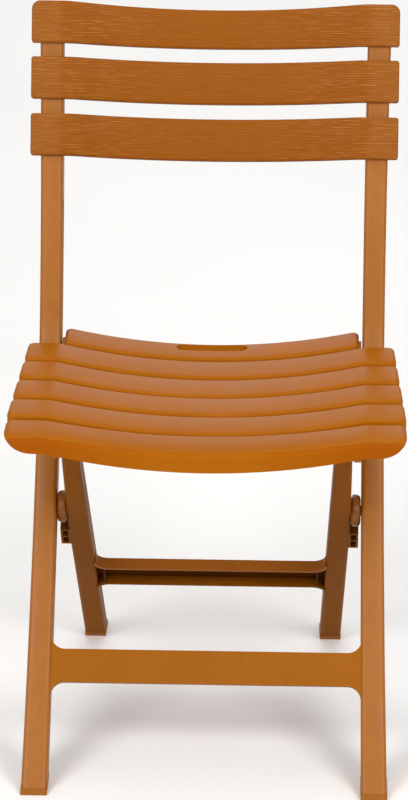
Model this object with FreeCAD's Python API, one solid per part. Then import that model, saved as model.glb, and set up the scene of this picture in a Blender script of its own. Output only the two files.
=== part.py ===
import math
import os

import FreeCAD
import Part

os.makedirs("parts", exist_ok=True)
Vector = FreeCAD.Vector
across = Vector(1, 0, 0)

# Long legs in side view, as points on their front face (millimetres, Y backwards, Z up)
leg_foot = Vector(0, -200, 0)
leg_knee = Vector(0, 80, 435)
leg_top = Vector(0, 212.6, 786.2)
leg_inner_x_floor = 174.0
leg_inner_x_knee = 169.3
leg_inner_x_top = 171.0
leg_outer_x_floor = 203.0
leg_outer_x_knee = 194.0
leg_outer_x_top = 197.5
leg_depth = 34.0
leg_depth_top = 27.0
leg_knee_radius = 240.0
leg_edge_radius = 5.0
leg_wall = 3.4
leg_rib_pitch = 58.0
leg_top_drop = 7.0

# Front stretcher, measured along the long leg
front_stretcher_middle = 145.5
front_stretcher_height = 37.0
front_stretcher_recess = 3.0
front_stretcher_depth = 16.0
stretcher_flare = 15.0

# Linkage points in side view
main_pivot = Vector(0, -10, 265)
seat_pivot = Vector(0, -108, 381)
guide_pin_rest = Vector(0, 79.5, 400.5)
fold_angle = 66.9
seat_turn_ratio = 1.855

# Rear legs
rear_foot_middle = Vector(0, 213.5, 0)
rear_outer_x = 158.8
rear_outer_x_floor = 150.5
rear_inner_x_top = 139.5
rear_inner_x_floor = 126.5
rear_depth = 28.0
rear_wall = 3.0
rear_end_radius = 13.0
rear_edge_radius = 4.0
rear_stretcher_middle = 185.0
rear_stretcher_height = 45.0
rear_stretcher_depth = 13.5
rear_channel_rib = 9.0
stop_lug_from_pivot = 36.0
stop_lug_length = 37.0
stop_lug_reach = 168.0

# Pins and their fits
main_pin_radius = 6.0
seat_pin_radius = 5.0
guide_pin_radius = 5.5
running_gap = 0.06
slot_gap = 0.5
side_gap = 0.3
spacer_radius = 18.0
pin_head_height = 3.0
pin_head_recess_x = 192.4
cap_thickness = 4.0

# Seat, with the dish of its slats listed from the rear forwards
seat_top = 435.0
seat_rear_edge = 63.0
seat_slat_width = 46.0
seat_slat_gap = 6.5
seat_slat_height = 13.0
seat_wall = 3.2
seat_sags = [20.5, 20.2, 19.2, 18.6]
front_slat_sag = 16.4
nose_sag = 20.0
seat_half_front = 220.0
seat_half_rear = 204.5
seat_front_edge = -197.0
seat_nose_height = 21.0
seat_nose_radius = 9.0
seat_edge_radius = 4.5
seat_corner_radius = 34.0
grip_slat_half = 165.3
grip_slat_front = 69.5
grip_slat_rear = 112.0
grip_slot_length = 80.0
grip_slot_width = 17.5
grip_slot_margin = 6.0
rail_inner_x = 160.6
rail_outer_x = 168.2
rail_rear_end = 96.0
seat_flat_from = 178.0
slat_blend_radius = 60.0

# Back slats, measured down the upright from its top
back_half = 206.0
back_slat_starts = {"top": 0.0, "middle": 62.5, "lower": 126.0}
back_slat_width = 46.8
back_slat_height = 8.0
back_bow = 28.0
back_flat_from = 170.0
back_droop = 4.5
back_wall = 3.2
back_edge_radius = 2.5
back_corner_radius = 3.0
back_top_corner_radius = 9.5
back_top_dip = 3.5
peg_radius = 3.0
peg_head_radius = 5.0
peg_head_height = 2.4
peg_inset_x = 22.0

# Foot glides
glide_height = 6.5
glide_lip = 0.4
glide_plug = 14.0
glide_plug_gap = 0.25

# Moves the side view so that the footprint is centred on Y = 0
centre_shift = Vector(0, -17.5, 0)


def behind(direction):
    return Vector(0, direction.z, -direction.y)


lower_dir = (leg_knee - leg_foot).normalize()
upper_dir = (leg_top - leg_knee).normalize()
lower_back = behind(lower_dir)
upper_back = behind(upper_dir)
rear_dir = (main_pivot - rear_foot_middle).normalize()
rear_back = behind(rear_dir)
rear_pivot_run = (main_pivot - rear_foot_middle).Length
rear_seat_run = (seat_pivot - rear_foot_middle).dot(rear_dir)


def outline(corners, radii):
    edges = []
    count = len(corners)
    rounds = []
    for i in range(count):
        corner = corners[i]
        to_last = (corners[i - 1] - corner).normalize()
        to_next = (corners[(i + 1) % count] - corner).normalize()
        if radii[i] == 0:
            rounds.append((corner, None, corner))
            continue
        half = to_last.getAngle(to_next) / 2
        reach = radii[i] / math.tan(half)
        inward = (to_last + to_next).normalize()
        middle = corner + inward * (radii[i] / math.sin(half) - radii[i])
        rounds.append((corner + to_last * reach, middle, corner + to_next * reach))
    for i in range(count):
        enter, middle, leave = rounds[i]
        if middle is not None:
            edges.append(Part.Arc(enter, middle, leave).toShape())
        following = rounds[(i + 1) % count][0]
        if (following - leave).Length > 1e-6:
            edges.append(Part.makeLine(leave, following))
    return Part.Face(Part.Wire(edges))


def cross_pin(centre, x_from, x_to, radius):
    start = Vector(x_from, centre.y, centre.z)
    return Part.makeCylinder(radius, x_to - x_from, start, across)


def knee_point(depth):
    spread = lower_back + upper_back
    return leg_knee + spread * (depth / (1 + lower_back.dot(upper_back)))


def leg_point(run, depth):
    return leg_foot + lower_dir * run + lower_back * depth


def upright_point(run, depth):
    return leg_knee + upper_dir * run + upper_back * depth


def rear_point(run, depth):
    return rear_foot_middle + rear_dir * run + rear_back * depth


leg_run = (leg_knee - leg_foot).Length
upright_run = (leg_top - leg_knee).Length
pivot_leg_run = (main_pivot - leg_foot).dot(lower_dir)


def leg_inner_at(height):
    part = height / leg_top.z
    knee_part = leg_knee.z / leg_top.z
    rise = leg_inner_x_top - leg_inner_x_floor
    bend = (leg_inner_x_knee - leg_inner_x_floor - rise * knee_part) / (knee_part * (knee_part - 1))
    return leg_inner_x_floor + rise * part + bend * part * (part - 1)


def keep_above(shape, height):
    return shape.common(Part.makeBox(900, 900, 1200, Vector(-450, -450, height)))


def mirrored(shape):
    return shape.mirror(Vector(0, 0, 0), across)


def leg_prism(inset, depth_low, depth_high, top_run, outer_inset):
    below = -40.0
    side = outline(
        [leg_point(below, inset), knee_point(inset), upright_point(top_run, inset),
         upright_point(top_run, depth_high), knee_point(depth_low), leg_point(below, depth_low)],
        [0, leg_knee_radius - inset, 0, 0, leg_knee_radius + depth_low, 0])
    block = side.extrude(across * 260)
    top_z = leg_top.z
    inner_low = Vector(leg_inner_x_floor + outer_inset, -500, 0)
    inner_middle = Vector(leg_inner_x_knee + outer_inset, -500, leg_knee.z)
    inner_high = Vector(leg_inner_x_top + outer_inset, -500, top_z)
    low = Vector(leg_outer_x_floor - outer_inset, -500, 0)
    middle = Vector(leg_outer_x_knee - outer_inset, -500, leg_knee.z)
    high = Vector(leg_outer_x_top - outer_inset, -500, top_z)
    drop = Vector(0, 0, -60)
    rise = Vector(0, 0, 60)
    edges = [
        Part.makeLine(inner_low + drop, low + drop),
        Part.makeLine(low + drop, low),
        Part.Arc(low, middle, high).toShape(),
        Part.makeLine(high, high + rise),
        Part.makeLine(high + rise, inner_high + rise),
        Part.makeLine(inner_high + rise, inner_high),
        Part.Arc(inner_high, inner_middle, inner_low).toShape(),
        Part.makeLine(inner_low, inner_low + drop),
    ]
    front_view = Part.Face(Part.Wire(edges)).extrude(Vector(0, 1000, 0))
    return block.common(front_view)


def leg_front_edges(shape):
    chosen = []
    for edge in shape.Edges:
        middle = edge.valueAt((edge.FirstParameter + edge.LastParameter) / 2)
        depth = max((middle - leg_foot).dot(lower_back), (middle - leg_knee).dot(upper_back))
        at_side = middle.x < leg_inner_x_floor + 1 or middle.x > leg_outer_x_knee - 3
        if abs(depth) < 2.5 and at_side and edge.Length > 20:
            chosen.append(edge)
    return chosen


def leg_cross_plate(run, on_upright, thickness, depth):
    point = upright_point if on_upright else leg_point
    low = point(run - thickness / 2, 0.5)
    high = run + thickness / 2
    corners = [low, point(high, 0.5), point(high, depth), point(run - thickness / 2, depth)]
    plate = outline(corners, [0, 0, 0, 0]).extrude(across * 45)
    plate.translate(across * (leg_inner_x_knee - 5))
    return plate


def guide_point(turn):
    arm = seat_pivot - main_pivot
    reach = guide_pin_rest - seat_pivot
    arm_angle = math.atan2(arm.z, arm.y) - turn
    reach_angle = math.atan2(reach.z, reach.y) + (seat_turn_ratio - 1) * turn
    swung = Vector(0, math.cos(arm_angle), math.sin(arm_angle)) * arm.Length
    turned = Vector(0, math.cos(reach_angle), math.sin(reach_angle)) * reach.Length
    return main_pivot + swung + turned


def guide_slot():
    steps = 12
    half = guide_pin_radius + slot_gap
    whole_turn = math.radians(fold_angle)
    turns = [0.84 * whole_turn * i / steps for i in range(steps + 1)]
    front = []
    back = []
    tips = []
    for turn in turns:
        centre = guide_point(turn)
        along = (guide_point(turn + 1e-4) - guide_point(turn - 1e-4)).normalize()
        side = behind(along) * half
        front.append(centre - side)
        back.append(centre + side)
        tips.append(along * half)
    front_curve = Part.BSplineCurve()
    front_curve.interpolate(front)
    back_curve = Part.BSplineCurve()
    back_curve.interpolate(back)
    low_tip = guide_point(turns[0]) - tips[0]
    high_tip = guide_point(turns[-1]) + tips[-1]
    edges = [
        front_curve.toShape(),
        Part.Arc(front[-1], high_tip, back[-1]).toShape(),
        back_curve.toShape(),
        Part.Arc(back[0], low_tip, front[0]).toShape(),
    ]
    slot_from = leg_inner_x_knee - 2
    slot_to = leg_inner_x_top + leg_wall + 2
    slot = Part.Face(Part.Wire(Part.__sortEdges__(edges))).extrude(across * (slot_to - slot_from))
    slot.translate(across * slot_from)
    last_reach = []
    for part in (0.88, 0.94, 1.0):
        centre = guide_point(part * whole_turn)
        last_reach.append(cross_pin(centre, slot_from, slot_to, half))
    return slot.fuse(last_reach).removeSplitter()


def peg_places():
    middle_x = back_half - peg_inset_x
    places = []
    for start in back_slat_starts.values():
        for part in (0.37, 0.74):
            places.append((middle_x, upright_run - start - back_slat_width * part))
    return places


def peg(x, run, radius, depth_from, depth_to):
    start = upright_point(run, depth_from) + across * x
    return Part.makeCylinder(radius, depth_to - depth_from, start, upper_back)


def long_leg():
    leg = leg_prism(0, leg_depth, leg_depth_top, upright_run - leg_top_drop, 0)
    leg = leg.makeFillet(leg_edge_radius, leg_front_edges(leg))
    pocket = leg_prism(leg_wall, leg_depth + 30, leg_depth_top + 30,
                       upright_run - leg_top_drop - leg_wall, leg_wall)
    kept = [cross_pin(main_pivot, leg_inner_x_knee - 2, leg_outer_x_floor, main_pin_radius + 7)]
    slot_end = (guide_point(math.radians(fold_angle)) - leg_knee).dot(upper_dir) + 24
    run = leg_rib_pitch
    while run < leg_run - 75:
        if abs(run - pivot_leg_run) > 18:
            kept.append(leg_cross_plate(run, False, 2.6, leg_depth - 5))
        run += leg_rib_pitch
    for run in (slot_end, upright_run - 117, upright_run - 54):
        kept.append(leg_cross_plate(run, True, 2.6, leg_depth_top - 4))
    leg = leg.cut(pocket.cut(Part.makeCompound(kept)))
    leg = leg.cut(guide_slot())
    outside = leg_outer_x_floor + 5
    leg = leg.cut(cross_pin(main_pivot, leg_inner_x_knee - 5, outside, main_pin_radius + running_gap))
    leg = leg.cut(cross_pin(main_pivot, pin_head_recess_x, outside, main_pin_radius + 4.8))
    for x, run in peg_places():
        leg = leg.cut(peg(x, run, peg_radius + running_gap, -6, leg_wall + 4))
    return keep_above(leg, glide_height)


def in_leg_plane(shape, origin, direction):
    turned = shape.copy()
    turned.rotate(Vector(0, 0, 0), across, math.degrees(math.atan2(direction.z, direction.y)))
    turned.translate(origin)
    return turned


def flared_bar(end_x, face_x, low, high, flare):
    edges = []
    side = flare * (1 - math.sqrt(0.5))
    left = -face_x
    right = face_x
    points = [
        Vector(right, low - flare, 0), Vector(right - side, low - side, 0), Vector(right - flare, low, 0),
        Vector(left + flare, low, 0), Vector(left + side, low - side, 0), Vector(left, low - flare, 0),
        Vector(-end_x, low - flare, 0), Vector(-end_x, high + flare, 0),
        Vector(left, high + flare, 0), Vector(left + side, high + side, 0), Vector(left + flare, high, 0),
        Vector(right - flare, high, 0), Vector(right - side, high + side, 0), Vector(right, high + flare, 0),
        Vector(end_x, high + flare, 0), Vector(end_x, low - flare, 0),
    ]
    for start in (0, 3, 8, 11):
        edges.append(Part.Arc(points[start], points[start + 1], points[start + 2]).toShape())
    for start, end in ((2, 3), (5, 6), (6, 7), (7, 8), (10, 11), (13, 14), (14, 15), (15, 0)):
        edges.append(Part.makeLine(points[start], points[end]))
    return Part.Face(Part.Wire(Part.__sortEdges__(edges)))


def front_stretcher():
    low = front_stretcher_middle - front_stretcher_height / 2
    high = front_stretcher_middle + front_stretcher_height / 2
    face_x = leg_inner_at(leg_point(low - stretcher_flare, 0).z) + 0.15
    bar = flared_bar(face_x + leg_wall - 1, face_x, low, high, stretcher_flare)
    bar = bar.extrude(Vector(0, 0, front_stretcher_recess - front_stretcher_depth))
    bar.translate(Vector(0, 0, -front_stretcher_recess))
    hollow = front_stretcher_depth - front_stretcher_recess - leg_wall
    cells = 6
    cell = 2 * (face_x - stretcher_flare) / cells
    for i in range(cells):
        x = -face_x + stretcher_flare + i * cell + 1.3
        bar = bar.cut(Part.makeBox(cell - 2.6, front_stretcher_height - 2 * leg_wall, hollow,
                                   Vector(x, low + leg_wall, -front_stretcher_depth)))
    return in_leg_plane(bar, leg_foot, lower_dir)


def main_frame():
    leg = long_leg()
    return mirrored(leg).fuse([front_stretcher(), leg]).removeSplitter()


def dish_height(x, flat_from, sag, blend):
    total = (flat_from ** 2 + sag ** 2) / (2 * sag)
    big = total - blend
    angle = math.asin(flat_from / total)
    if abs(x) >= flat_from:
        return 0.0
    if abs(x) >= flat_from - blend * math.sin(angle):
        return -blend + math.sqrt(blend ** 2 - (flat_from - abs(x)) ** 2)
    return big - sag - math.sqrt(big ** 2 - x ** 2)


def dish_edges(reach, top, below, flat_from, sag, blend):
    total = (flat_from ** 2 + sag ** 2) / (2 * sag)
    angle = math.asin(flat_from / total)
    small = blend - below

    def on_small(turn, side):
        x = flat_from - small * math.sin(turn)
        return Vector(side * x, 0, top - blend + small * math.cos(turn))

    middle = Vector(0, 0, top - sag - below)
    edges = [Part.makeLine(Vector(-reach, 0, top - below), on_small(0, -1))]
    edges.append(Part.Arc(on_small(0, -1), on_small(angle / 2, -1), on_small(angle, -1)).toShape())
    edges.append(Part.Arc(on_small(angle, -1), middle, on_small(angle, 1)).toShape())
    edges.append(Part.Arc(on_small(angle, 1), on_small(angle / 2, 1), on_small(0, 1)).toShape())
    edges.append(Part.makeLine(on_small(0, 1), Vector(reach, 0, top - below)))
    return edges


def dished_band(half, y_from, y_to, top, above, below, sag, flat_from, low_sag=None):
    reach = max(half, flat_from + 20)
    edges = dish_edges(reach, top, above, flat_from, sag, slat_blend_radius)
    if low_sag is None:
        edges += dish_edges(reach, top, below, flat_from, sag, slat_blend_radius)
    else:
        edges += dish_edges(reach, top - below, 0, flat_from, low_sag, slat_blend_radius)
    for x in (-reach, reach):
        edges.append(Part.makeLine(Vector(x, 0, top - above), Vector(x, 0, top - below)))
    face = Part.Face(Part.Wire(Part.__sortEdges__(edges)))
    band = face.extrude(Vector(0, y_to - y_from, 0))
    band.translate(Vector(0, y_from, 0))
    if half < reach:
        band = band.common(Part.makeBox(2 * half, 2000, 2000, Vector(-half, -1000, -1000)))
    return band


def slat_plan(half_front, half_rear, y_from, y_to, radii):
    corners = [Vector(-half_front, y_from, -300), Vector(half_front, y_from, -300),
               Vector(half_rear, y_to, -300), Vector(-half_rear, y_to, -300)]
    return outline(corners, radii).extrude(Vector(0, 0, 1200))


def top_loop(shape, top, sag, half, flat_from):
    chosen = []
    for edge in shape.Edges:
        middle = edge.valueAt((edge.FirstParameter + edge.LastParameter) / 2)
        level = top + dish_height(middle.x, flat_from, sag, slat_blend_radius)
        inside = abs(edge.tangentAt(edge.FirstParameter).y) > 0.9 and abs(middle.x) < half - 6
        if abs(middle.z - level) < 0.01 and not inside:
            chosen.append(edge)
    return chosen


def seat_half_at(y):
    slope = (seat_half_rear - seat_half_front) / (seat_rear_edge - seat_front_edge)
    return seat_half_front + slope * (y - seat_front_edge)


def seat_slat(y_from, y_to, half_front, half_rear, sag):
    half = max(half_front, half_rear)
    bar = dished_band(half, y_from, y_to, seat_top, 0, seat_slat_height, sag, seat_flat_from)
    bar = bar.common(slat_plan(half_front, half_rear, y_from, y_to, [8, 8, 8, 8]))
    loop = top_loop(bar, seat_top, sag, min(half_front, half_rear), seat_flat_from)
    return bar.makeFillet(seat_edge_radius, loop)


def slat_hollow(y_from, y_to, half, sag):
    return dished_band(half, y_from + seat_wall, y_to - seat_wall, seat_top, seat_wall,
                       seat_slat_height + 20, sag, seat_flat_from)


def front_slat(y_to):
    y_from = seat_front_edge
    half_rear = seat_half_at(y_to)
    half = seat_half_front
    sag = front_slat_sag
    bar = dished_band(half, y_from, y_to, seat_top, 0, seat_slat_height, sag, seat_flat_from)
    apron = dished_band(half, y_from, y_from + 14, seat_top, 0, seat_nose_height, sag,
                        seat_flat_from, nose_sag)
    bar = bar.fuse(apron).removeSplitter()
    bar = bar.common(slat_plan(half, half_rear, y_from, y_to, [16, 16, 11, 11]))
    bar = bar.makeFillet(seat_nose_radius, top_loop(bar, seat_top, sag, half_rear, seat_flat_from))
    low = seat_top - seat_nose_height
    corners = [Vector(-seat_half_front, -400, low), Vector(seat_half_front, -400, low),
               Vector(seat_half_front, -400, seat_top + 50), Vector(-seat_half_front, -400, seat_top + 50)]
    ends = outline(corners, [seat_corner_radius, seat_corner_radius, 0, 0]).extrude(Vector(0, 800, 0))
    below = Part.makeBox(2 * seat_flat_from, 800, 200, Vector(-seat_flat_from, -400, 300))
    return bar.common(ends.fuse(below))


def seat_rail():
    pivot = seat_pivot
    pin = guide_pin_rest
    top = seat_top - seat_wall
    corners = [
        Vector(0, -176, top), Vector(0, -176, seat_top - seat_slat_height - 6),
        Vector(0, pivot.y - 11, pivot.z - 6), Vector(0, pivot.y, pivot.z - 12.5),
        Vector(0, pivot.y + 12, pivot.z - 7), Vector(0, pivot.y + 44, pin.z - 8),
        Vector(0, pin.y - 10, pin.z - 11), Vector(0, pin.y, pin.z - 12),
        Vector(0, pin.y + 11, pin.z - 5), Vector(0, rail_rear_end, pin.z + 10),
        Vector(0, rail_rear_end, top),
    ]
    side = outline(corners, [0, 0, 4, 6, 4, 14, 4, 6, 4, 4, 0])
    side = side.extrude(across * (rail_outer_x - rail_inner_x))
    side.translate(across * rail_inner_x)
    gap_top = seat_top - 9.0
    side = side.cut(Part.makeBox(40, 400, 20, Vector(rail_inner_x - 10, -250, gap_top)))
    holes = [
        cross_pin(pivot, rail_inner_x - 2, rail_outer_x + 2, seat_pin_radius + running_gap),
        cross_pin(pin, rail_inner_x - 2, rail_outer_x + 2, guide_pin_radius + running_gap),
    ]
    return side.cut(Part.makeCompound(holes))


def stadium(length, width, middle_y):
    half = length / 2
    corners = [Vector(-half, middle_y - width / 2, 300), Vector(half, middle_y - width / 2, 300),
               Vector(half, middle_y + width / 2, 300), Vector(-half, middle_y + width / 2, 300)]
    radius = width / 2 - 0.01
    return outline(corners, [radius] * 4).extrude(Vector(0, 0, 200))


def seat_panel():
    pitch = seat_slat_width + seat_slat_gap
    slats = []
    hollows = []
    rear = seat_rear_edge
    for sag in seat_sags:
        front = rear - seat_slat_width
        slats.append(seat_slat(front, rear, seat_half_at(front), seat_half_at(rear), sag))
        hollows.append(slat_hollow(front, rear, seat_half_at(rear) - seat_wall, sag))
        rear -= pitch
    slats.append(front_slat(rear))
    hollows.append(slat_hollow(seat_front_edge, rear, seat_half_front - 34, front_slat_sag))
    grip_sag = seat_sags[0]
    slats.append(seat_slat(grip_slat_front, grip_slat_rear, grip_slat_half, grip_slat_half, grip_sag))
    hollows.append(slat_hollow(grip_slat_front, grip_slat_rear, grip_slat_half - seat_wall, grip_sag))
    slot_middle = grip_slat_rear - grip_slot_margin - grip_slot_width / 2
    kept = [stadium(grip_slot_length + 5, grip_slot_width + 5, slot_middle)]
    ties = []
    for side in (-1, 1):
        rail_x = rail_inner_x if side > 0 else -rail_outer_x
        kept.append(Part.makeBox(rail_outer_x - rail_inner_x, 400, 60, Vector(rail_x, -250, 390)))
        for tie_x in (56, 108):
            level = seat_top + dish_height(tie_x, seat_flat_from, grip_sag, slat_blend_radius)
            x = side * tie_x - 2
            run = grip_slat_rear - seat_wall - seat_front_edge - 10
            ties.append(Part.makeBox(4, run, 12, Vector(x, seat_front_edge + 10, level - 19)))
            kept.append(Part.makeBox(4, 400, 60, Vector(x, -250, 390)))
    hollow = Part.makeCompound(hollows).cut(Part.makeCompound(kept))
    rail = seat_rail()
    panel = slats[0].fuse(slats[1:]).cut(hollow)
    panel = panel.fuse([rail, mirrored(rail)] + ties).removeSplitter()
    panel = panel.cut(stadium(grip_slot_length, grip_slot_width, slot_middle))
    return panel


def drooped(bar, front):
    slope = back_droop / back_bow
    matrix = FreeCAD.Matrix()
    matrix.A23 = slope
    matrix.A24 = -slope * front
    return bar.transformGeometry(matrix)


def back_slat(name):
    start = back_slat_starts[name]
    high = upright_run - start
    low = high - back_slat_width
    front = back_slat_height
    bar = dished_band(back_half, low, high, front, 0, back_slat_height, back_bow, back_flat_from)
    upper_radius = back_top_corner_radius if name == "top" else back_corner_radius
    radii = [back_corner_radius, back_corner_radius, upper_radius, upper_radius]
    bar = bar.common(slat_plan(back_half, back_half, low, high, radii))
    if name == "top":
        chord = 2 * back_flat_from
        radius = (chord ** 2 / 4 + back_top_dip ** 2) / (2 * back_top_dip)
        scoop = Part.makeCylinder(radius, 400, Vector(0, high - back_top_dip + radius, -200), Vector(0, 0, 1))
        bar = bar.cut(scoop)
    bar = bar.makeFillet(back_edge_radius, top_loop(bar, front, back_bow, back_half, back_flat_from))
    hollow = dished_band(leg_inner_x_top - 6, low + back_wall, high - back_wall - back_top_dip, front,
                         back_wall, back_slat_height + 10, back_bow, back_flat_from)
    ribs = []
    for i in range(-3, 4):
        ribs.append(Part.makeBox(2.6, 100, 120, Vector(i * 47 - 1.3, low - 20, -60)))
    bar = bar.cut(hollow.cut(Part.makeCompound(ribs)))
    bar = in_leg_plane(drooped(bar, front), leg_knee, upper_dir)
    pegs = []
    for x, run in peg_places():
        if low < run < high:
            for side in (-1, 1):
                pegs.append(peg(side * x, run, peg_radius, -3, leg_wall))
                pegs.append(peg(side * x, run, peg_head_radius, leg_wall, leg_wall + peg_head_height))
    return bar.fuse(pegs).removeSplitter()


def rear_side(inset, depth_back, run_from, run_to, end_radius):
    front = -rear_depth / 2 + inset
    corners = [rear_point(run_from, front), rear_point(run_to, front),
               rear_point(run_to, depth_back), rear_point(run_from, depth_back)]
    return outline(corners, [0, end_radius, end_radius, 0]).extrude(across * 260)


def rear_inner_at(run):
    return rear_inner_x_floor + (rear_inner_x_top - rear_inner_x_floor) * run / rear_seat_run


rear_outer_turn = rear_pivot_run - spacer_radius - 2


def rear_outer_at(run):
    return rear_outer_x_floor + (rear_outer_x - rear_outer_x_floor) * run / rear_outer_turn


def rear_front_view(inset):
    top = rear_seat_run + 40
    turn = rear_outer_turn
    places = [(rear_inner_at(-40) + inset, -40), (rear_outer_x_floor - inset, -40),
              (rear_outer_x_floor - inset, 0), (rear_outer_x - inset, turn),
              (rear_outer_x - inset, top), (rear_inner_at(top) + inset, top)]
    corners = [rear_point(run, -60) + across * x for x, run in places]
    return outline(corners, [0] * 6).extrude(rear_back * 140)


def rear_edges(shape):
    chosen = []
    for edge in shape.Edges:
        middle = edge.valueAt((edge.FirstParameter + edge.LastParameter) / 2)
        depth = (middle - rear_foot_middle).dot(rear_back)
        if abs(depth + rear_depth / 2) < 0.01 and edge.Length > 30:
            chosen.append(edge)
    return chosen


def stop_lug():
    high = rear_pivot_run - stop_lug_from_pivot
    low = high - stop_lug_length
    front = -rear_depth / 2 + 1
    back = front + 17
    corners = [rear_point(low, front), rear_point(high, front), rear_point(high, back), rear_point(low, back)]
    root = rear_outer_at(low) - 1.5
    block = outline(corners, [0, 0, 6, 6]).extrude(across * (stop_lug_reach - root))
    block.translate(across * root)
    pocket = stop_lug_length / 2 - 3.4
    for start in (low + 2.4, high - 2.4 - pocket):
        hole = outline([rear_point(start, front - 2), rear_point(start + pocket, front - 2),
                        rear_point(start + pocket, back - 4), rear_point(start, back - 4)], [0, 0, 2, 2])
        inner = rear_outer_at(high) + 1.2
        hole = hole.extrude(across * (stop_lug_reach - 2.4 - inner))
        hole.translate(across * inner)
        block = block.cut(hole)
    return block


def rear_leg():
    leg = rear_side(0, rear_depth / 2, -40, rear_seat_run + rear_end_radius, rear_end_radius)
    leg = leg.common(rear_front_view(0))
    leg = leg.makeFillet(rear_edge_radius, rear_edges(leg))
    pocket = rear_side(rear_wall, rear_depth, -40, rear_seat_run - 18, 0).common(rear_front_view(rear_wall))
    kept = [cross_pin(main_pivot, rear_inner_x_floor, rear_outer_x + 4, main_pin_radius + 6)]
    run = leg_rib_pitch
    rib_front = -rear_depth / 2
    rib_back = rear_depth / 2 - 4
    while run < rear_seat_run - 30:
        if abs(run - rear_pivot_run) > 18:
            plate = outline([rear_point(run - 1.3, rib_front), rear_point(run + 1.3, rib_front),
                             rear_point(run + 1.3, rib_back), rear_point(run - 1.3, rib_back)], [0] * 4)
            kept.append(plate.extrude(across * 260))
        run += leg_rib_pitch
    leg = leg.cut(pocket.cut(Part.makeCompound(kept)))
    leg = leg.fuse(stop_lug())
    leg = leg.cut(cross_pin(main_pivot, 100, 200, main_pin_radius + running_gap))
    cap_floor = rear_inner_at(rear_pivot_run) + cap_thickness + 0.2
    leg = leg.cut(cross_pin(main_pivot, 100, cap_floor, main_pin_radius + 4.4))
    leg = leg.cut(cross_pin(seat_pivot, 100, 200, seat_pin_radius + running_gap))
    return keep_above(leg, glide_height)


def rear_stretcher():
    low = rear_stretcher_middle - rear_stretcher_height / 2
    high = rear_stretcher_middle + rear_stretcher_height / 2
    face_x = rear_inner_at(rear_stretcher_middle)
    bar = flared_bar(face_x + rear_wall - 1, face_x, low, high, stretcher_flare)
    bar = bar.extrude(Vector(0, 0, -rear_stretcher_depth))
    flare = stretcher_flare + rear_wall
    channel = flared_bar(face_x + rear_wall + 1, face_x + rear_wall, low + rear_wall, high - rear_wall, flare)
    channel = channel.extrude(Vector(0, 0, rear_wall - rear_stretcher_depth))
    ribs = []
    for x in (rear_channel_rib - face_x, face_x - rear_channel_rib):
        ribs.append(Part.makeBox(2, rear_stretcher_height + 2 * flare, rear_stretcher_depth,
                                 Vector(x - 1, low - flare, -rear_stretcher_depth - 1.5)))
    bar = bar.cut(channel.cut(Part.makeCompound(ribs)))
    return in_leg_plane(bar, rear_point(0, -rear_depth / 2), rear_dir)


def rear_leg_frame():
    leg = rear_leg()
    return mirrored(leg).fuse([rear_stretcher(), leg]).removeSplitter()


def main_pivot_pin():
    seat_x = pin_head_recess_x
    inner = rear_inner_at(rear_pivot_run)
    pin = cross_pin(main_pivot, inner + 1.4, seat_x + 1, main_pin_radius)
    head = cross_pin(main_pivot, seat_x, seat_x + pin_head_height, main_pin_radius + 4.5)
    head = head.makeFillet(0.8, [head.Edges[0]])
    return pin.fuse(head).removeSplitter()


def ring(centre, x_from, x_to, radius, bore):
    disc = cross_pin(centre, x_from, x_to, radius)
    return disc.cut(cross_pin(centre, x_from - 1, x_to + 1, bore))


def pivot_spacer():
    outer = leg_inner_at(main_pivot.z + spacer_radius) - side_gap
    return ring(main_pivot, rear_outer_x, outer, spacer_radius, main_pin_radius + running_gap)


def pivot_cap():
    inner = rear_inner_at(rear_pivot_run) - 0.3
    cup = cross_pin(main_pivot, inner, inner + cap_thickness, main_pin_radius + 4)
    socket = cross_pin(main_pivot, inner + 1.5, inner + cap_thickness + 1, main_pin_radius + running_gap)
    return cup.cut(socket)


def seat_pivot_pin():
    inner = rear_inner_at(rear_seat_run) - 0.8
    pin = cross_pin(seat_pivot, inner - 1, rail_outer_x - 0.4, seat_pin_radius)
    head = cross_pin(seat_pivot, inner - pin_head_height, inner, seat_pin_radius + 3)
    return pin.fuse(head).removeSplitter()


def seat_pivot_washer():
    return ring(seat_pivot, rear_outer_x + side_gap, rail_inner_x - side_gap, seat_pin_radius + 5,
                seat_pin_radius + running_gap)


def seat_guide_pin():
    pin = cross_pin(guide_pin_rest, rail_inner_x - 1, leg_inner_x_top + 14, guide_pin_radius)
    head = cross_pin(guide_pin_rest, rail_inner_x - pin_head_height, rail_inner_x, guide_pin_radius + 3)
    return pin.fuse(head).removeSplitter()


def guide_washer():
    start = leg_inner_x_top + leg_wall + 0.4
    return ring(guide_pin_rest, start, start + 3, guide_pin_radius + 1.7, guide_pin_radius + running_gap)


def front_glide():
    plate = leg_prism(-glide_lip, leg_depth + glide_lip, leg_depth_top, 100, -glide_lip)
    plate = plate.common(Part.makeBox(900, 900, glide_height, Vector(-450, -450, 0)))
    plug = leg_prism(leg_wall + glide_plug_gap, leg_depth - 4, leg_depth_top, 100, leg_wall + glide_plug_gap)
    plug = plug.common(Part.makeBox(900, 900, glide_plug, Vector(-450, -450, glide_height - 1)))
    return plate.fuse(plug).removeSplitter()


def rear_glide():
    plate = rear_side(-glide_lip, rear_depth / 2 + glide_lip, -40, 100, 0).common(rear_front_view(-glide_lip))
    plate = plate.common(Part.makeBox(900, 900, glide_height, Vector(-450, -450, 0)))
    inset = rear_wall + glide_plug_gap
    plug = rear_side(inset, rear_depth / 2 - 4, -40, 100, 0).common(rear_front_view(inset))
    plug = plug.common(Part.makeBox(900, 900, glide_plug, Vector(-450, -450, glide_height - 1)))
    return plate.fuse(plug).removeSplitter()


def write_node(name, shape):
    placed = shape.copy()
    placed.translate(centre_shift)
    placed.exportStep("parts/" + name + ".step")


def write_pair(name, shape):
    write_node(name + "_right", shape)
    write_node(name + "_left", mirrored(shape))


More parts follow.
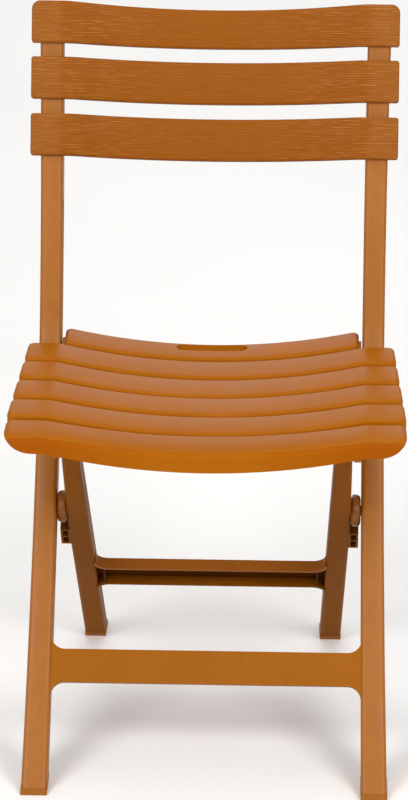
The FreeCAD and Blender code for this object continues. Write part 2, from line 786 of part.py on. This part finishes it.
write_node("main_frame", main_frame())
for slat_name in back_slat_starts:
    write_node("back_slat_" + slat_name, back_slat(slat_name))
write_node("rear_leg_frame", rear_leg_frame())
write_node("seat_panel", seat_panel())
write_pair("main_pivot_pin", main_pivot_pin())
write_pair("pivot_spacer", pivot_spacer())
write_pair("pivot_cap", pivot_cap())
write_pair("seat_pivot_pin", seat_pivot_pin())
write_pair("seat_pivot_washer", seat_pivot_washer())
write_pair("seat_guide_pin", seat_guide_pin())
write_pair("guide_washer", guide_washer())
write_pair("foot_glide_front", front_glide())
write_pair("foot_glide_rear", rear_glide())
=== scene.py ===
import math
import bpy
import bmesh
from mathutils import Matrix, Vector


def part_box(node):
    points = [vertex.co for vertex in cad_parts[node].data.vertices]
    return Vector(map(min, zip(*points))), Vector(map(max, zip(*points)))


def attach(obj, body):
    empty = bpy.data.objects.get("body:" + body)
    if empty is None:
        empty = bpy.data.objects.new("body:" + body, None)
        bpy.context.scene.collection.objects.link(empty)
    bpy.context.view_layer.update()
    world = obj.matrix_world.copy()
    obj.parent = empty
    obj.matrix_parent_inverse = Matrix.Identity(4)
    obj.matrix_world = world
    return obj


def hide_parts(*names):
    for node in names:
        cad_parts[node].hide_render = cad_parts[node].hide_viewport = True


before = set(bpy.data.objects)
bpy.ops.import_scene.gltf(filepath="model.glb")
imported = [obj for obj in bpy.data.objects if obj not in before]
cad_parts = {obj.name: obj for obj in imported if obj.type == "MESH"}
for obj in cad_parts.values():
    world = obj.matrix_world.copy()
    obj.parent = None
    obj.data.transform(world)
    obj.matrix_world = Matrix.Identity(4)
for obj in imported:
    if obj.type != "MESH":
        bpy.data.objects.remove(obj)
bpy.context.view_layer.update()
print("stage: frame loaded")

scene = bpy.context.scene
backLean = math.radians(20.68)  # how far the uprights lean back
rearLegSlope = 130.14  # degrees, the rear legs' direction seen from the side
plasticIor = 1.49  # how strongly polypropylene bends light
mergeGap = 0.00001  # metres, vertices nearer than this become one
sliverGap = 0.00005  # metres, faces narrower than this go
flatAngle = math.radians(0.1)  # faces that meet more flatly than this become one
usualCrease = 35  # degrees, edges sharper than this are softened


def toLinear(hexText):
    channels = [int(hexText[place:place + 2], 16) / 255 for place in (1, 3, 5)]
    linear = [c / 12.92 if c <= 0.04045 else ((c + 0.055) / 1.055) ** 2.4 for c in channels]
    return linear + [1.0]


def addNode(tree, kind, links=None, stops=(), **settings):
    node = tree.nodes.new(kind)
    for name, value in settings.items():
        setattr(node, name, value)
    while stops and len(node.color_ramp.elements) < len(stops):
        node.color_ramp.elements.new(0.5)
    for number, (place, shade) in enumerate(stops):
        node.color_ramp.elements[number].position = place
        node.color_ramp.elements[number].color = toLinear(shade)
    for socket, value in (links or {}).items():
        if isinstance(value, bpy.types.NodeSocket):
            tree.links.new(value, node.inputs[socket])
        else:
            node.inputs[socket].default_value = value
    return node


def startMaterial(name):
    material = bpy.data.materials.new(name)
    material.use_nodes = True
    material.node_tree.nodes.clear()
    return material, material.node_tree


def endMaterial(tree, finish, colour, roughness, height):
    bump = addNode(tree, "ShaderNodeBump", {
        "Height": height, "Strength": finish["bumpStrength"], "Distance": finish["bump"] / 1000})
    surface = addNode(tree, "ShaderNodeBsdfPrincipled", {
        "Base Color": colour, "Roughness": roughness, "IOR": plasticIor,
        "Specular IOR Level": finish["shine"], "Normal": bump.outputs["Normal"]})
    addNode(tree, "ShaderNodeOutputMaterial", {"Surface": surface.outputs["BSDF"]})


def outwardDistance(tree, place):
    sides = addNode(tree, "ShaderNodeSeparateXYZ", {"Vector": place.outputs["Object"]})
    return addNode(tree, "ShaderNodeMath", {0: sides.outputs["X"]}, operation="ABSOLUTE").outputs["Value"]


# painted light: blends a colour in towards a part's ends, a painted highlight on the slats and painted
# shade on the seat's front edge
def paintLightTowardsEnds(tree, outward, colour, ends):
    start, stop, share, shade = ends  # mm from the middle, then how much of which colour
    amount = addNode(tree, "ShaderNodeMapRange", {
        "Value": outward, "From Min": start / 1000, "From Max": stop / 1000, "To Max": share})
    shaded = addNode(tree, "ShaderNodeMix", {
        0: amount.outputs["Result"], 6: colour, 7: toLinear(shade)}, data_type="RGBA")
    return shaded.outputs[2]


# moulded polypropylene of the legs: satin, with faint pale and dark flow streaks along each leg
legFinish = {
    "streakWidth": 5.0, "streakLength": 180.0,  # mm
    "mottleSize": 55.0, "mottleShare": 0.45,  # mm, and its share beside the streaks
    "mottleRange": (0.3, 0.7),  # values of the mottle that the roughness runs between
    "skinGrain": 1.6,  # mm, the real spark-eroded skin is about 0.2 mm, drawn coarser so that it shows
    "shades": [(0.3, "#975910"), (0.5, "#9B5C12"), (0.7, "#A06016")],
    "roughness": (0.4, 0.5), "shine": 0.36,
    "bump": 0.04, "bumpStrength": 0.3,  # mm, and how much of it shows
}


def mouldedPlastic(name, finish):
    material, tree = startMaterial(name)
    place = addNode(tree, "ShaderNodeTexCoord")
    across, along = 1000 / finish["streakWidth"], 1000 / finish["streakLength"]
    drawn = addNode(tree, "ShaderNodeMapping", {
        "Vector": place.outputs["Object"], "Scale": (across, across, along)})
    streaks = addNode(tree, "ShaderNodeTexNoise", {
        "Vector": drawn.outputs["Vector"], "Scale": 1.0, "Detail": 3.0, "Roughness": 0.55})
    mottle = addNode(tree, "ShaderNodeTexNoise", {
        "Vector": place.outputs["Object"], "Scale": 1000 / finish["mottleSize"], "Detail": 4.0})
    blend = addNode(tree, "ShaderNodeMix", {
        "Factor": finish["mottleShare"], 2: streaks.outputs["Fac"], 3: mottle.outputs["Fac"]})
    shade = addNode(tree, "ShaderNodeValToRGB", {"Fac": blend.outputs[0]}, stops=finish["shades"])
    colour = shade.outputs["Color"]
    # painted shade towards the ends, for the seat's front edge
    if "ends" in finish:
        colour = paintLightTowardsEnds(tree, outwardDistance(tree, place), colour, finish["ends"])
    skin = addNode(tree, "ShaderNodeTexNoise", {
        "Vector": place.outputs["Object"], "Scale": 1000 / finish["skinGrain"], "Detail": 2.0})
    gloss = addNode(tree, "ShaderNodeMapRange", {
        "Value": mottle.outputs["Fac"],
        "From Min": finish["mottleRange"][0], "From Max": finish["mottleRange"][1],
        "To Min": finish["roughness"][0], "To Max": finish["roughness"][1]})
    endMaterial(tree, finish, colour, gloss.outputs["Result"], skin.outputs["Fac"])
    return material


# polypropylene pressed by a wood-grain tool: short pale lines run along each slat, clearest near its ends
grainFinish = {
    "lineGap": 2.6,  # mm between pressed lines
    "waver": (177.345, 82.761),  # mm along and through the slat before a line wanders
    "bend": 5.0,  # how far it wanders, where 2 pi is one gap
    "dash": (17.0, 10.0, 1.6),  # mm long, deep and wide, the pieces a line is broken into
    "dashRange": (0.38, 0.68), "gapLevel": 0.42,  # where a dash starts and is full, height between dashes
    "clearing": (40.0, 165.0),  # mm from the middle, where the lines grow from faint to clear
    "faint": 0.4,  # strength of the lines in the middle
    "ends": (169.0, 178.0, 0.11, "#A37648"),  # flat ends, a little lighter: a painted highlight where they catch more light
    "shades": [(0.2, "#83470A"), (0.5, "#8B4C0A"), (0.9, "#A2662C")],
    "scuff": {  # worn upper corner
        "centre": (0.186, 0.195, 0.766),  # metres
        "reach": 27.0, "speck": 2.6,  # mm
        "speckRange": (0.5, 0.78), "shade": "#B07A48"},
    "roughness": (0.6, 0.42), "shine": 0.08,
    "bump": 0.14, "bumpStrength": 0.6,  # mm, and how much of it shows
}


def grainPressedPlastic(name, finish):
    material, tree = startMaterial(name)
    place = addNode(tree, "ShaderNodeTexCoord")
    upright = addNode(tree, "ShaderNodeMapping", {
        "Vector": place.outputs["Object"], "Rotation": (backLean, 0, 0)})
    lineScale = 2 * math.pi / 20 / (finish["lineGap"] / 1000)  # at 1 a line repeats every 2 pi / 20
    along, through = (1000 / size / lineScale for size in finish["waver"])
    drawn = addNode(tree, "ShaderNodeMapping", {
        "Vector": upright.outputs["Vector"], "Scale": (along, through, 1.0)})
    lines = addNode(tree, "ShaderNodeTexWave", {
        "Vector": drawn.outputs["Vector"], "Scale": lineScale,
        "Distortion": finish["bend"], "Detail": 3.0, "Detail Scale": 1.0, "Detail Roughness": 0.6},
        wave_type="BANDS", bands_direction="Z", wave_profile="SIN")
    thin = addNode(tree, "ShaderNodeMapping", {
        "Vector": upright.outputs["Vector"], "Scale": [1000 / size for size in finish["dash"]]})
    breaks = addNode(tree, "ShaderNodeTexNoise", {
        "Vector": thin.outputs["Vector"], "Scale": 1.0, "Detail": 2.0})
    dash = addNode(tree, "ShaderNodeMapRange", {
        "Value": breaks.outputs["Fac"],
        "From Min": finish["dashRange"][0], "From Max": finish["dashRange"][1]})
    blend = addNode(tree, "ShaderNodeMix", {
        "Factor": dash.outputs["Result"], 2: finish["gapLevel"], 3: lines.outputs["Fac"]})
    outward = outwardDistance(tree, place)
    start, stop = finish["clearing"]
    clear = addNode(tree, "ShaderNodeMapRange", {
        "Value": outward, "From Min": start / 1000, "From Max": stop / 1000,
        "To Min": finish["faint"], "To Max": 1.0}, interpolation_type="SMOOTHSTEP")
    around = addNode(tree, "ShaderNodeMath", {0: blend.outputs[0], 1: 0.5}, operation="SUBTRACT")
    faded = addNode(tree, "ShaderNodeMath", {  # contrast about the middle value
        0: around.outputs["Value"], 1: clear.outputs["Result"], 2: 0.5}, operation="MULTIPLY_ADD")
    grain = faded.outputs["Value"]
    shade = addNode(tree, "ShaderNodeValToRGB", {"Fac": grain}, stops=finish["shades"])
    scuff = finish["scuff"]
    corner = addNode(tree, "ShaderNodeMapping", {
        "Vector": place.outputs["Object"], "Scale": [1000 / scuff["reach"]] * 3,
        "Location": [-1000 / scuff["reach"] * part for part in scuff["centre"]]})
    nearCorner = addNode(tree, "ShaderNodeTexGradient", {
        "Vector": corner.outputs["Vector"]}, gradient_type="SPHERICAL")
    speck = addNode(tree, "ShaderNodeTexNoise", {
        "Vector": place.outputs["Object"], "Scale": 1000 / scuff["speck"], "Detail": 3.0})
    rubbed = addNode(tree, "ShaderNodeMapRange", {
        "Value": speck.outputs["Fac"],
        "From Min": scuff["speckRange"][0], "From Max": scuff["speckRange"][1]})
    worn = addNode(tree, "ShaderNodeMath", {
        0: rubbed.outputs["Result"], 1: nearCorner.outputs["Fac"]}, operation="MULTIPLY")
    # painted highlight on the flat ends of the slats
    highlightedEnds = paintLightTowardsEnds(tree, outward, shade.outputs["Color"], finish["ends"])
    colour = addNode(tree, "ShaderNodeMix", {
        0: worn.outputs["Value"], 6: highlightedEnds, 7: toLinear(scuff["shade"])}, data_type="RGBA")
    gloss = addNode(tree, "ShaderNodeMapRange", {
        "Value": grain, "To Min": finish["roughness"][0], "To Max": finish["roughness"][1]})
    endMaterial(tree, finish, colour.outputs[2], gloss.outputs["Result"], grain)
    return material


# painted shade: the rear legs stand in the seat's shadow, so they are given a darker colour than the front
# legs and almost no shine
shadedRearLegFinish = dict(
    legFinish, shades=[(0.3, "#784206"), (0.5, "#7C4609"), (0.7, "#814A0D")], shine=0.03)
# painted shade: the front stretcher, part of the same moulding as the legs, is given a darker colour and
# less shine for the less light its face reflects
shadedStretcherFinish = dict(
    legFinish, shades=[(0.3, "#925408"), (0.5, "#96570A"), (0.7, "#9B5B0E")], shine=0.09)
# painted light: the upper face of the rear stretcher, lit from above, is given a lighter colour than the
# painted shade of the rear legs
litLedgeFinish = dict(
    legFinish, shades=[(0.3, "#8C4F0C"), (0.5, "#92530F"), (0.7, "#985812")], shine=0.2)
# painted shade: the floor of the rear stretcher's channel, where little light reaches, is given a dark,
# dull colour
shadedChannelFinish = dict(
    legFinish, shades=[(0.3, "#472201"), (0.5, "#4A2402"), (0.7, "#4E2703")], shine=0.03)
# the seat is an even orange-brown with a faint sheen
seatFinish = dict(
    legFinish, streakWidth=60.0, streakLength=60.0, mottleSize=40.0,
    shades=[(0.3, "#995500"), (0.5, "#9C5702"), (0.7, "#A05A05")],
    roughness=(0.34, 0.42), shine=0.085, bump=0.03)
# painted shade: the front edge of the seat turns a deeper orange towards its ends, where it shows less
# sheen than in the middle
shadedNoseFinish = dict(seatFinish, ends=(50.0, 170.0, 1.0, "#954B00"), shine=0.05)
# pins, caps, discs and washers are small dark mouldings with a soft shine
pinFinish = dict(
    legFinish, streakWidth=20.0, streakLength=20.0, mottleSize=15.0, skinGrain=1.2,
    shades=[(0.3, "#75400B"), (0.5, "#7B450E"), (0.7, "#824A11")],
    roughness=(0.32, 0.42), shine=0.3, bump=0.03)
# foot plugs are rougher and duller than the legs, from standing on floors
glideFinish = dict(
    legFinish, streakWidth=12.0, streakLength=12.0, mottleSize=20.0, skinGrain=1.4,
    shades=[(0.3, "#8C500C"), (0.5, "#92550F"), (0.7, "#985A13")],
    roughness=(0.5, 0.64), shine=0.2, bump=0.06)

finishes = {
    "leg_plastic": mouldedPlastic("moulded_polypropylene_legs", legFinish),
    "shaded_rear_leg_plastic": mouldedPlastic("moulded_polypropylene_rear_legs_painted_shade", shadedRearLegFinish),
    "shaded_stretcher_plastic": mouldedPlastic("moulded_polypropylene_stretcher_painted_shade", shadedStretcherFinish),
    "lit_ledge_plastic": mouldedPlastic("moulded_polypropylene_ledge_painted_light", litLedgeFinish),
    "shaded_channel_plastic": mouldedPlastic("moulded_polypropylene_channel_painted_shade", shadedChannelFinish),
    "grained_slat": grainPressedPlastic("grain_pressed_polypropylene", grainFinish),
    "seat_plastic": mouldedPlastic("moulded_polypropylene_seat", seatFinish),
    "shaded_nose_plastic": mouldedPlastic("moulded_polypropylene_seat_edge_painted_shade", shadedNoseFinish),
    "pin_plastic": mouldedPlastic("moulded_polypropylene_pins", pinFinish),
    "glide_plastic": mouldedPlastic("moulded_polypropylene_glides", glideFinish),
}
print("stage: materials made", len(finishes))


def makePiece(shape, node, choice):
    for face in shape.faces:
        face.smooth = True
    crease = math.radians(choice.get("crease", usualCrease))
    for edge in shape.edges:
        edge.smooth = edge.is_manifold and edge.calc_face_angle() < crease
    mesh = bpy.data.meshes.new(node + "_moulding")
    shape.to_mesh(mesh)
    shape.free()
    if "custom_normal" in mesh.attributes:
        mesh.attributes.remove(mesh.attributes["custom_normal"])
    mesh.materials.clear()
    mesh.materials.append(finishes[choice.get("finish", choice["slot"])])
    # painted light and painted shade on parts of a moulding get their own finish
    for slope, reach, low, high, finish in choice.get("paintedLightZones", []):
        upward = Vector((0, math.cos(math.radians(slope)), math.sin(math.radians(slope))))
        mesh.materials.append(finishes[finish])
        for polygon in mesh.polygons:
            height = polygon.center.dot(upward) * 1000
            if abs(polygon.center.x) * 1000 < reach and low < height < high:
                polygon.material_index = len(mesh.materials) - 1
    piece = bpy.data.objects.new(node + "_moulding", mesh)
    scene.collection.objects.link(piece)
    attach(piece, choice["body"])
    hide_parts(node)
    soften = piece.modifiers.new("mould_edges", "BEVEL")
    soften.width = choice["edge"] / 1000
    soften.segments = 2
    soften.limit_method = "ANGLE"
    soften.angle_limit = crease
    print("stage: made", node, len(mesh.polygons), "faces")


# the mouldings that keep the CAD shape, with merged faces and edges softened by this many mm
# painted light and painted shade on parts of one moulding: slope in degrees, mm from the middle, mm up the
# slope from and to, and the finish there
carried = {
    "main_frame": {
        "body": "main_frame", "slot": "leg_plastic", "edge": 0.7,
        # painted shade on the front stretcher
        "paintedLightZones": [(90.0, 168.0, 0.0, 250.0, "shaded_stretcher_plastic")]},
    "rear_leg_frame": {
        # painted shade on the whole rear frame
        "body": "rear_legs", "slot": "leg_plastic", "edge": 0.6, "finish": "shaded_rear_leg_plastic",
        # painted light on the upper face of the rear stretcher
        "paintedLightZones": [(rearLegSlope, 132.0, 80.9, 97.0, "lit_ledge_plastic"),
                  # painted shade in the channel of the rear stretcher
                  (rearLegSlope, 131.0, 57.0, 62.0, "shaded_channel_plastic")]},
    "seat_panel": {
        "body": "seat", "slot": "seat_plastic", "edge": 0.5, "crease": 52,
        # painted shade on the front edge of the seat, deeper towards its ends
        "paintedLightZones": [(180.0, 400.0, 211.0, 216.0, "shaded_nose_plastic")]},
}
for row in ("top", "middle", "lower"):
    carried["back_slat_" + row] = {"body": "main_frame", "slot": "grained_slat", "edge": 0.4}
for hand in ("left", "right"):
    carried["foot_glide_front_" + hand] = {"body": "main_frame", "slot": "glide_plastic", "edge": 0.9}
    carried["foot_glide_rear_" + hand] = {"body": "rear_legs", "slot": "glide_plastic", "edge": 0.9}


# seat slats are crowned across their width
crown = {
    "slats": [  # front edge, rear edge, dish, edge radius, drop at the front and at the rear, all in mm
        (-214.5, -164.5, 16.4, 9.0, 2.6, 1.0), (-158.0, -112.0, 18.6, 4.5, 1.3, 1.2),
        (-105.5, -59.5, 19.2, 4.5, 1.3, 1.2), (-53.0, -7.0, 20.2, 4.5, 1.3, 1.2),
        (-0.5, 45.5, 20.5, 4.5, 1.3, 1.2), (52.0, 94.5, 20.5, 4.5, 1.3, 1.2)],
    "cuts": 9,
    "top": 435.0, "flatFrom": 178.0, "blend": 60.0,  # mm, ends of the slats and the bend into the dish
    "facesUp": 0.02, "slack": 0.3,  # least upward lean of the skin, and mm below the rounded edge
}


def belowTop(spot, dish):
    flatFrom, blend = crown["flatFrom"], crown["blend"]
    whole = (flatFrom ** 2 + dish ** 2) / (2 * dish)
    inward = flatFrom - abs(spot.x)
    level = crown["top"]
    if inward > blend * flatFrom / whole:
        level += whole - blend - dish - math.sqrt((whole - blend) ** 2 - spot.x ** 2)
    elif inward > 0:
        level += math.sqrt(blend ** 2 - inward ** 2) - blend
    return level - spot.z


def slatSkin(shape, front, rear, dish, radius):
    skin = []
    for face in shape.faces:
        spot = face.calc_center_median() * 1000
        deep = radius + crown["slack"]
        if face.normal.z > crown["facesUp"] and front < spot.y < rear and belowTop(spot, dish) < deep:
            skin.append(face)
    return skin


def crownSlat(shape, front, rear, dish, radius, frontDrop, rearDrop):
    for number in range(1, crown["cuts"]):
        skin = slatSkin(shape, front, rear, dish, radius)
        place = (front + (rear - front) * number / crown["cuts"]) / 1000
        around = dict.fromkeys(part for face in skin for part in (*face.verts, *face.edges))
        bmesh.ops.bisect_plane(shape, geom=skin + list(around), dist=mergeGap,
                               plane_co=(0, place, 0), plane_no=(0, 1, 0))
    skin = slatSkin(shape, front, rear, dish, radius)
    for vert in dict.fromkeys(vert for face in skin for vert in face.verts):
        part = (vert.co.y * 2000 - front - rear) / (rear - front)  # -1 at the front, 1 at the rear
        deep = belowTop(vert.co * 1000, dish) / radius
        fade = 1 - min(1, max(0, deep))  # no drop at the foot of the rounded edge
        vert.co.z -= (rearDrop if part > 0 else frontDrop) * part ** 2 * fade / 1000
    shape.normal_update()


def carryMoulding(node, choice):
    shape = bmesh.new()
    shape.from_mesh(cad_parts[node].data)
    bmesh.ops.remove_doubles(shape, verts=shape.verts, dist=mergeGap)
    bmesh.ops.dissolve_limit(shape, angle_limit=flatAngle, verts=shape.verts, edges=shape.edges)
    if node == "seat_panel":
        for slat in crown["slats"]:
            crownSlat(shape, *slat)
        bmesh.ops.dissolve_degenerate(shape, dist=sliverGap, edges=shape.edges)
    makePiece(shape, node, choice)


for node, choice in carried.items():
    carryMoulding(node, choice)

# round parts are turned from an outline, and a bored one is a ring
# outline: mm from the end nearer the chair's middle, and radius in mm
turnSteps, turnedEdge = 56, 0.15  # faces round a part, and mm
roundParts = {
    "main_pivot_pin": {  # head with a raised ring and a moulding dimple
        "body": "main_frame", "bored": False,
        "outline": [(0, 0), (0, 5.2), (0.8, 6), (55.46, 6), (55.46, 10.5), (57.6, 10.5), (58.46, 9.6),
                    (58.46, 7.8), (57.9, 7.3), (57.9, 6.3), (58.46, 5.8), (58.46, 1.9), (58.0, 1.5),
                    (58.0, 0)]},
    "pivot_cap": {
        "body": "main_frame", "bored": False,
        "outline": [(1.5, 0), (1.5, 6.1), (4, 6.1), (4, 10), (1.0, 10), (0.3, 9.4), (0, 8.4), (0, 7.0),
                    (0.5, 6.5), (0.5, 2.2), (0.1, 1.6), (0.1, 0)]},
    "pivot_spacer": {  # crowned disc, with a groove beside the rear leg
        "body": "rear_legs", "bored": True,
        "outline": [(0, 6.1), (0, 15.4), (1.5, 15.4), (1.5, 17.5), (2.2, 18), (6.4, 18), (8.4, 17.4),
                    (9.8, 16.2), (10.6, 14.2), (10.9, 11.8), (10.9, 6.1)]},
    "seat_pivot_pin": {
        "body": "rear_legs", "bored": False,
        "outline": [(0, 0), (0, 5.0), (0.3, 6.6), (1.1, 8), (3, 8), (3, 5), (31.3, 5), (32.1, 4.2),
                    (32.1, 0)]},
    "seat_pivot_washer": {
        "body": "rear_legs", "bored": True,
        "outline": [(0, 5.1), (0, 9.7), (0.3, 10), (0.9, 10), (1.2, 9.7), (1.2, 5.1)]},
    "seat_guide_pin": {
        "body": "seat", "bored": False,
        "outline": [(0, 0), (0, 5.4), (0.3, 7.0), (1.1, 8.5), (3, 8.5), (3, 5.5), (26.6, 5.5), (27.4, 4.6),
                    (27.4, 0)]},
    "guide_washer": {
        "body": "seat", "bored": True,
        "outline": [(0, 5.6), (0, 6.8), (0.4, 7.2), (2.6, 7.2), (3, 6.8), (3, 5.6)]},
}


def turnPart(node, choice):
    low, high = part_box(node)
    centre = (low + high) / 2
    innerEnd = min(low.x, high.x, key=abs)
    outward = math.copysign(1 / 1000, centre.x)
    shape = bmesh.new()
    corners = [shape.verts.new((innerEnd + outward * along, centre.y, centre.z + radius / 1000))
               for along, radius in choice["outline"]]
    edges = [shape.edges.new(ends) for ends in zip(corners, corners[1:])]
    if choice["bored"]:
        edges.append(shape.edges.new((corners[-1], corners[0])))
    bmesh.ops.spin(shape, geom=corners + edges, cent=(0, centre.y, centre.z), axis=(1, 0, 0),
                   angle=2 * math.pi, steps=turnSteps, use_merge=True)
    bmesh.ops.remove_doubles(shape, verts=shape.verts, dist=mergeGap)
    bmesh.ops.recalc_face_normals(shape, faces=shape.faces)
    makePiece(shape, node, {"body": choice["body"], "slot": "pin_plastic", "edge": turnedEdge})


for kind, choice in roundParts.items():
    for hand in ("left", "right"):
        turnPart(kind + "_" + hand, choice)
print("stage: all parts made")

# plain pale floor, painted, with very faint broad patches
floorFinish = {
    "shades": [(0.3, "#F1F0EE"), (0.7, "#F6F5F3")],
    "patch": 900.0,  # mm
    "roughness": 0.75,
    "halfWidth": 60,  # metres
}


def makeFloor(finish):
    shape = bmesh.new()
    bmesh.ops.create_grid(shape, x_segments=2, y_segments=2, size=finish["halfWidth"])
    mesh = bpy.data.meshes.new("studio_floor")
    shape.to_mesh(mesh)
    shape.free()
    floor = bpy.data.objects.new("studio_floor", mesh)
    scene.collection.objects.link(floor)
    material, tree = startMaterial("painted_studio_floor")
    place = addNode(tree, "ShaderNodeTexCoord")
    patch = addNode(tree, "ShaderNodeTexNoise", {
        "Vector": place.outputs["Object"], "Scale": 1000 / finish["patch"]})
    shade = addNode(tree, "ShaderNodeValToRGB", {"Fac": patch.outputs["Fac"]}, stops=finish["shades"])
    surface = addNode(tree, "ShaderNodeBsdfPrincipled", {
        "Base Color": shade.outputs["Color"], "Roughness": finish["roughness"]})
    addNode(tree, "ShaderNodeOutputMaterial", {"Surface": surface.outputs["BSDF"]})
    mesh.materials.append(material)


# soft studio light
studio = {
    "sky": 0.45, "skyColour": "#FFFFFF",
    "target": (0, 0, 0.4),  # metres
    "lamps": {  # metres and watts
        "overhead_softbox": {"place": (0.0, 0.4, 3.0), "size": 2.6, "watts": 22},
        "left_softbox": {"place": (-2.0, -2.6, 2.6), "size": 1.8, "watts": 76},
        "right_softbox": {"place": (2.0, -2.6, 2.6), "size": 1.8, "watts": 76},
        "back_softbox": {"place": (0.0, 3.0, 1.9), "size": 2.4, "watts": 20},
    },
}


def makeStudio(choice):
    world = bpy.data.worlds.new("studio_sky")
    world.use_nodes = True
    world.node_tree.nodes.clear()
    sky = addNode(world.node_tree, "ShaderNodeBackground", {
        "Color": toLinear(choice["skyColour"]), "Strength": choice["sky"]})
    addNode(world.node_tree, "ShaderNodeOutputWorld", {"Surface": sky.outputs["Background"]})
    scene.world = world
    for name, lamp in choice["lamps"].items():
        light = bpy.data.lights.new(name, "AREA")
        light.shape = "DISK"
        light.size = lamp["size"]
        light.energy = lamp["watts"]
        holder = bpy.data.objects.new(name, light)
        scene.collection.objects.link(holder)
        aim = Vector(choice["target"]) - Vector(lamp["place"])
        turn = aim.to_track_quat("-Z", "Y").to_matrix().to_4x4()
        holder.matrix_world = Matrix.Translation(lamp["place"]) @ turn


cameraView = {
    "place": (0.1184, -4.7366, 2.4769),  # metres
    "pitch": 23.816, "yaw": 1.514, "roll": -0.212,  # degrees down, left and round
    "focal": 4642.0, "imageHeight": 800,  # pixels
    "sensor": 36, "sight": 60,  # mm, metres
}


def makeCamera(choice):
    pitch, yaw, roll = (math.radians(choice[name]) for name in ("pitch", "yaw", "roll"))
    forward = Vector((-math.sin(yaw) * math.cos(pitch), math.cos(yaw) * math.cos(pitch), -math.sin(pitch)))
    right = Vector((math.cos(yaw), math.sin(yaw), 0))
    down = forward.cross(right)
    imageRight = right * math.cos(roll) + down * math.sin(roll)
    imageDown = down * math.cos(roll) - right * math.sin(roll)
    turn = Matrix((imageRight, -imageDown, -forward)).transposed()
    lens = bpy.data.cameras.new("photo_camera")
    lens.sensor_width = choice["sensor"]
    lens.lens = choice["focal"] * lens.sensor_width / choice["imageHeight"]
    lens.clip_end = choice["sight"]
    holder = bpy.data.objects.new("photo_camera", lens)
    scene.collection.objects.link(holder)
    holder.matrix_world = Matrix.Translation(choice["place"]) @ turn.to_4x4()
    scene.camera = holder


makeFloor(floorFinish)
makeStudio(studio)
makeCamera(cameraView)
scene.view_settings.view_transform = "Standard"
print("stage: floor, light and camera")
